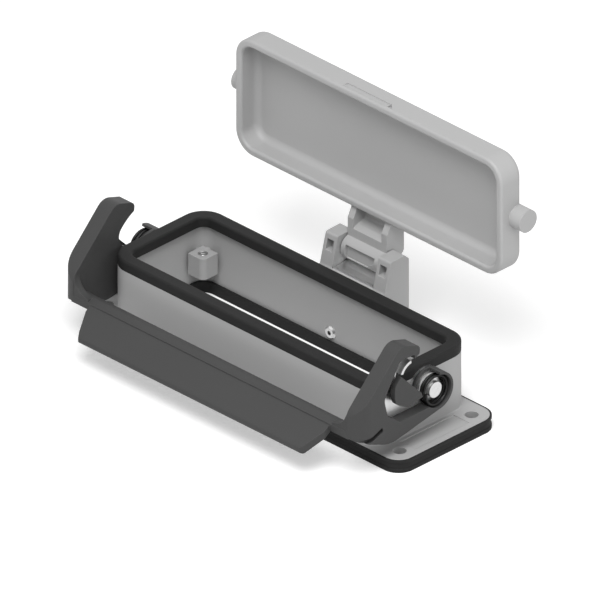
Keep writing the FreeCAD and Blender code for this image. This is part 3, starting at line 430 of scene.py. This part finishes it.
class CONNECTOR_OT_steel(bpy.types.Operator):
    """Finish the bright steel pieces and the dark springs"""

    bl_idname = "connector.steel"
    bl_label = "Finish the steel pieces"

    def execute(self, context):
        finish = settings()
        sheet = steel("Rolled stainless", finish.steel_colour, 0.32, (300.0, 250.0, 2500.0))
        dress(sheet, "lever_plate_left", "lever_plate_right", "cover_spring")
        turned = steel("Turned stainless", finish.steel_colour, 0.28, (3000.0, 700.0, 700.0))
        dress(turned, "pivot_stud_left", "pivot_stud_right", "pivot_washer_left",
              "pivot_washer_right", "hinge_pin", "bracket_rivet")
        wire = steel("Spring wire", finish.wire_colour, 0.35, (4000.0, 1500.0, 1500.0))
        low, high = (Vector(corner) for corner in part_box("lever_spring_right"))
        across = (high.z - low.z) / 2
        middle = (high.z + low.z) / 2
        sizes = {"Radius": ("NodeSocketFloat", across - finish.wire_radius),
                 "Wire": ("NodeSocketFloat", finish.wire_radius),
                 "Pitch": ("NodeSocketFloat", finish.spring_pitch),
                 "Turns": ("NodeSocketFloat",
                           (high.x - low.x - finish.wire_radius * 2) / finish.spring_pitch)}
        spots = [(side * (low.x + finish.wire_radius), 0.0, middle) for side in (1, -1)]
        coils = grown("lever_coils", spots, sizes, lever_coils, wire, "lever")
        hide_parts("lever_spring_left", "lever_spring_right")
        return {"FINISHED"}


class CONNECTOR_OT_threads(bpy.types.Operator):
    """Cut the threads of the insert screws into the four bosses"""

    bl_idname = "connector.threads"
    bl_label = "Cut the insert threads"

    def execute(self, context):
        finish = settings()
        cut = steel("Cut aluminium", grey(205), 0.38, (900.0, 900.0, 4000.0))
        mount = next(m for m in frame["record"]["mounts"] if m["name"] == "insert_screws")
        dims, (x, y, z) = mount["dims"], mount["pos_m"]
        half_x, half_y = dims["spacing_x_mm"] / 2 * MM, dims["spacing_y_mm"] / 2 * MM
        deep = finish.thread_depth
        spots = [(x + sx * half_x, y + sy * half_y, z - deep) for sx in (1, -1) for sy in (1, -1)]
        sizes = {"Radius": ("NodeSocketFloat", dims["hole_r_mm"] * MM),
                 "Wire": ("NodeSocketFloat", finish.thread_pitch * THREAD_HALF),
                 "Pitch": ("NodeSocketFloat", finish.thread_pitch),
                 "Turns": ("NodeSocketFloat", deep / finish.thread_pitch - THREAD_RUNOUT)}
        grown("insert_threads", spots, sizes, insert_threads, cut, "base")
        return {"FINISHED"}


def area_light(name, place, size, power):
    """A square lamp at a point in metres, turned to the part."""
    lamp = bpy.data.lights.new(name, "AREA")
    lamp.shape = "SQUARE"
    lamp.size = size
    lamp.energy = power
    obj = bpy.data.objects.new(name, lamp)
    obj.location = place
    obj.rotation_euler = (Vector(LAMP_AIM) - Vector(place)).to_track_quat("-Z", "Y").to_euler()
    bpy.context.scene.collection.objects.link(obj)


class CONNECTOR_OT_stage(bpy.types.Operator):
    """Set the floor, the light, the background and the camera"""

    bl_idname = "connector.stage"
    bl_label = "Set the stage"

    def execute(self, context):
        self.make_floor()
        self.make_world()
        area_light("Key", (0.28, -0.38, 0.85), size=0.5, power=6.5)
        area_light("Side", (0.85, 0.15, 0.35), size=0.4, power=1.0)
        self.make_camera()
        bpy.context.scene.view_settings.view_transform = "Standard"
        return {"FINISHED"}

    def make_floor(self):
        mesh = bpy.data.meshes.new("Floor")
        half = FLOOR_HALF
        corners = [(-half, -half, 0.0), (half, -half, 0.0), (half, half, 0.0), (-half, half, 0.0)]
        mesh.from_pydata(corners, [], [(0, 1, 2, 3)])
        floor = bpy.data.objects.new("Floor", mesh)
        floor.location.z = -FLOOR_DROP
        bpy.context.scene.collection.objects.link(floor)
        material, shader, bsdf = new_material("Floor paper")
        bsdf.inputs["Base Color"].default_value = (0.86, 0.86, 0.86, 1.0)
        bsdf.inputs["Roughness"].default_value = 0.9
        bsdf.inputs["Emission Color"].default_value = (1.0, 1.0, 1.0, 1.0)
        seen = shader.add("ShaderNodeLightPath").outputs["Is Camera Ray"]
        shader.link(shader.maths("MULTIPLY", seen, FLOOR_GLOW), bsdf.inputs["Emission Strength"])
        mesh.materials.append(material)

    def make_world(self):
        world = bpy.data.worlds.new("Pale room")
        bpy.context.scene.world = world
        world.use_nodes = True
        shader = Shader(world.node_tree)
        background = next(n for n in world.node_tree.nodes if n.type == "BACKGROUND")
        paths = shader.add("ShaderNodeLightPath").outputs
        shown = shader.maths("ADD", paths["Is Camera Ray"], paths["Is Glossy Ray"])
        shown = shader.maths("ADD", shown, paths["Is Transmission Ray"], clamp=True)
        strength = shader.add("ShaderNodeMapRange")
        shader.feed(strength, "Value", shown)
        shader.feed(strength, "To Min", ROOM_STRENGTH)
        shader.feed(strength, "To Max", 1.0)
        shader.link(strength.outputs["Result"], background.inputs["Strength"])
        background.inputs["Color"].default_value = (1.0, 1.0, 1.0, 1.0)

    def make_camera(self):
        data = bpy.data.cameras.new("Camera")
        data.type = "ORTHO"
        data.ortho_scale = PHOTO_SIDE / PIXELS_PER_MM * MM
        data.clip_end = 5.0
        camera = bpy.data.objects.new("Camera", data)
        right = Vector((math.cos(CAMERA_AZIMUTH), math.sin(CAMERA_AZIMUTH), 0.0))
        back = Vector((math.sin(CAMERA_AZIMUTH) * math.cos(CAMERA_ELEVATION),
                       -math.cos(CAMERA_AZIMUTH) * math.cos(CAMERA_ELEVATION),
                       math.sin(CAMERA_ELEVATION)))
        up = back.cross(right)
        across = (PHOTO_SIDE / 2 - ORIGIN_PIXEL[0]) / PIXELS_PER_MM * MM
        rise = (ORIGIN_PIXEL[1] - PHOTO_SIDE / 2) / PIXELS_PER_MM * MM
        camera.location = right * across + up * rise + back * CAMERA_DISTANCE
        camera.rotation_euler = (-back).to_track_quat("-Z", "Y").to_euler()
        bpy.context.scene.collection.objects.link(camera)
        bpy.context.scene.camera = camera


STEPS = (CONNECTOR_OT_castings, CONNECTOR_OT_gaskets, CONNECTOR_OT_lever, CONNECTOR_OT_steel,
         CONNECTOR_OT_threads, CONNECTOR_OT_stage)


class CONNECTOR_PT_panel(bpy.types.Panel):
    """Lists the steps and the finish settings"""

    bl_idname = "CONNECTOR_PT_panel"
    bl_label = "Connector housing"
    bl_space_type = "VIEW_3D"
    bl_region_type = "UI"
    bl_category = "Connector"

    def draw(self, context):
        finish = context.scene.connector_finish
        for name in finish.bl_rna.properties.keys():
            if name not in ("rna_type", "name"):
                self.layout.prop(finish, name)
        for step in STEPS:
            self.layout.operator(step.bl_idname)


CLASSES = (ConnectorFinish,) + STEPS + (CONNECTOR_PT_panel,)


def register():
    for cls in CLASSES:
        bpy.utils.register_class(cls)
    bpy.types.Scene.connector_finish = bpy.props.PointerProperty(type=ConnectorFinish)


def unregister():
    del bpy.types.Scene.connector_finish
    for cls in reversed(CLASSES):
        bpy.utils.unregister_class(cls)


def main():
    register()
    bpy.ops.connector.castings()
    bpy.ops.connector.gaskets()
    bpy.ops.connector.lever()
    bpy.ops.connector.steel()
    bpy.ops.connector.threads()
    bpy.ops.connector.stage()
    bpy.context.view_layer.update()


if __name__ == "__main__":
    main()
